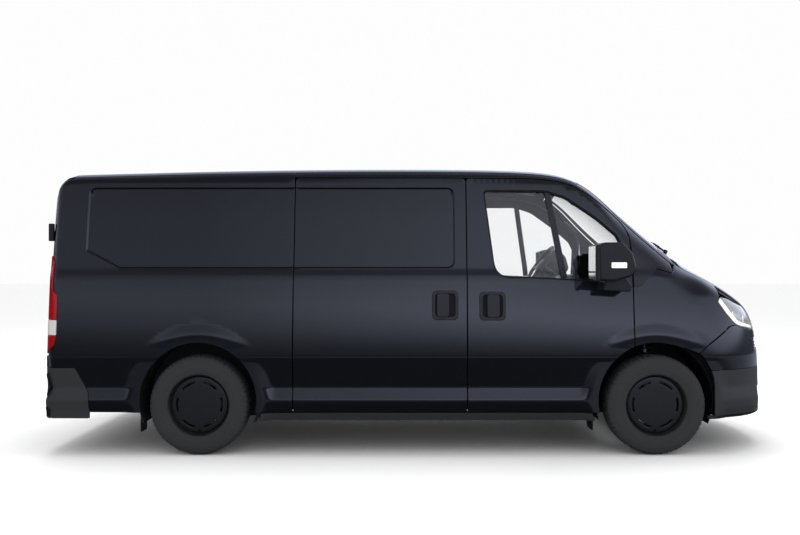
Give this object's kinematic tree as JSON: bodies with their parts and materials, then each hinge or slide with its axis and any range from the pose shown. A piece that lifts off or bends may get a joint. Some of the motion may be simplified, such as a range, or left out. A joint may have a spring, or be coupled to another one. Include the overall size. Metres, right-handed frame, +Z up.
{
  "type": "panel van",
  "caption": "Mid-size low-roof panel van with a sliding side door, hinged cab and rear doors, an opening bonnet and steered front wheels.",
  "frame": {"origin": "on the ground under the middle of the overall length and width", "axes": "+X to the front of the van, +Y to its left, +Z up"},
  "size_m": [5.0492, 2.5, 1.9626],
  "materials": {
    "paint": "gloss black paint",
    "steel_dark": "matt black primer",
    "steel_grey": "grey paint",
    "glass": "clear",
    "plastic": "grained dark grey",
    "lamp": "clear lens over a silver housing",
    "lamp_red": "red lens",
    "fabric": "woven dark grey",
    "cast": "bare",
    "rubber": "moulded",
    "wheel_black": "satin black",
    "tyre": "moulded"
  },
  "bodies": {
    "body": {"floor": "steel_dark", "sills": "paint", "chassis_rails": "steel_dark", "wheelhouses": "steel_dark", "side_panel_right": "paint", "side_panel_left": "paint", "roof": "paint", "sliding_door": "paint", "bulkhead": "steel_grey", "pillars": "steel_dark", "windscreen": "glass", "cowl": "plastic", "front_wing_right": "paint", "front_wing_left": "paint", "nose_panel": "paint", "front_bumper": "plastic", "headlamps": "lamp", "rear_bumper": "plastic", "tail_lamps": "lamp_red", "dashboard": "plastic", "steering_wheel": "plastic", "seats": "fabric", "engine": "cast", "front_subframe": "steel_dark", "rear_axle": "steel_dark", "rear_springs": "steel_dark", "fuel_tank": "plastic", "exhaust": "steel_grey", "mud_flaps": "rubber"},
    "bonnet": {"bonnet": "paint"},
    "front_door_right": {"front_door_right": "paint", "door_glass_right": "glass", "mirror_right": "plastic"},
    "front_door_left": {"front_door_left": "paint", "door_glass_left": "glass", "mirror_left": "plastic"},
    "rear_door_right": {"rear_door_right": "paint"},
    "rear_door_left": {"rear_door_left": "paint"},
    "knuckle_right": {"knuckle_right": "cast"},
    "knuckle_left": {"knuckle_left": "cast"},
    "wheel_front_right": {"wheel_front_right": "wheel_black", "tyre_front_right": "tyre"},
    "wheel_front_left": {"wheel_front_left": "wheel_black", "tyre_front_left": "tyre"},
    "wheel_rear_right": {"wheel_rear_right": "wheel_black", "tyre_rear_right": "tyre"},
    "wheel_rear_left": {"wheel_rear_left": "wheel_black", "tyre_rear_left": "tyre"}
  },
  "joints": [
    {"name": "front_door_right_hinge", "type": "hinge", "parent": "body", "child": "front_door_right", "pos_m": [1.392, -0.952, 0.7], "axis": [0, 0, 1], "range_deg": [0, 68]},
    {"name": "front_door_left_hinge", "type": "hinge", "parent": "body", "child": "front_door_left", "pos_m": [1.392, 0.952, 0.7], "axis": [0, 0, -1], "range_deg": [0, 68]},
    {"name": "rear_door_right_hinge", "type": "hinge", "parent": "body", "child": "rear_door_right", "pos_m": [-2.518, -0.824, 0.9], "axis": [0, 0, 1], "range_deg": [0, 180]},
    {"name": "rear_door_left_hinge", "type": "hinge", "parent": "body", "child": "rear_door_left", "pos_m": [-2.518, 0.824, 0.9], "axis": [0, 0, -1], "range_deg": [0, 180]},
    {"name": "bonnet_hinge", "type": "hinge", "parent": "body", "child": "bonnet", "pos_m": [1.835, 0, 1.337], "axis": [0, -1, 0], "range_deg": [0, 55]},
    {"name": "steering_right", "type": "hinge", "parent": "body", "child": "knuckle_right", "pos_m": [1.6, -0.8275, 0.332], "axis": [0, 0, 1], "range_deg": [-35, 35]},
    {"name": "steering_left", "type": "hinge", "parent": "body", "child": "knuckle_left", "pos_m": [1.6, 0.8275, 0.332], "axis": [0, 0, 1], "range_deg": [-35, 35]},
    {"name": "wheel_front_right_spin", "type": "hinge", "parent": "knuckle_right", "child": "wheel_front_right", "pos_m": [1.6, -0.8675, 0.332], "axis": [0, 1, 0], "continuous": true},
    {"name": "wheel_front_left_spin", "type": "hinge", "parent": "knuckle_left", "child": "wheel_front_left", "pos_m": [1.6, 0.8675, 0.332], "axis": [0, 1, 0], "continuous": true},
    {"name": "wheel_rear_right_spin", "type": "hinge", "parent": "body", "child": "wheel_rear_right", "pos_m": [-1.45, -0.8675, 0.332], "axis": [0, 1, 0], "continuous": true},
    {"name": "wheel_rear_left_spin", "type": "hinge", "parent": "body", "child": "wheel_rear_left", "pos_m": [-1.45, 0.8675, 0.332], "axis": [0, 1, 0], "continuous": true}
  ],
  "couplings": [
    {"joint": "steering_left", "follows": "steering_right", "ratio": 1}
  ]
}
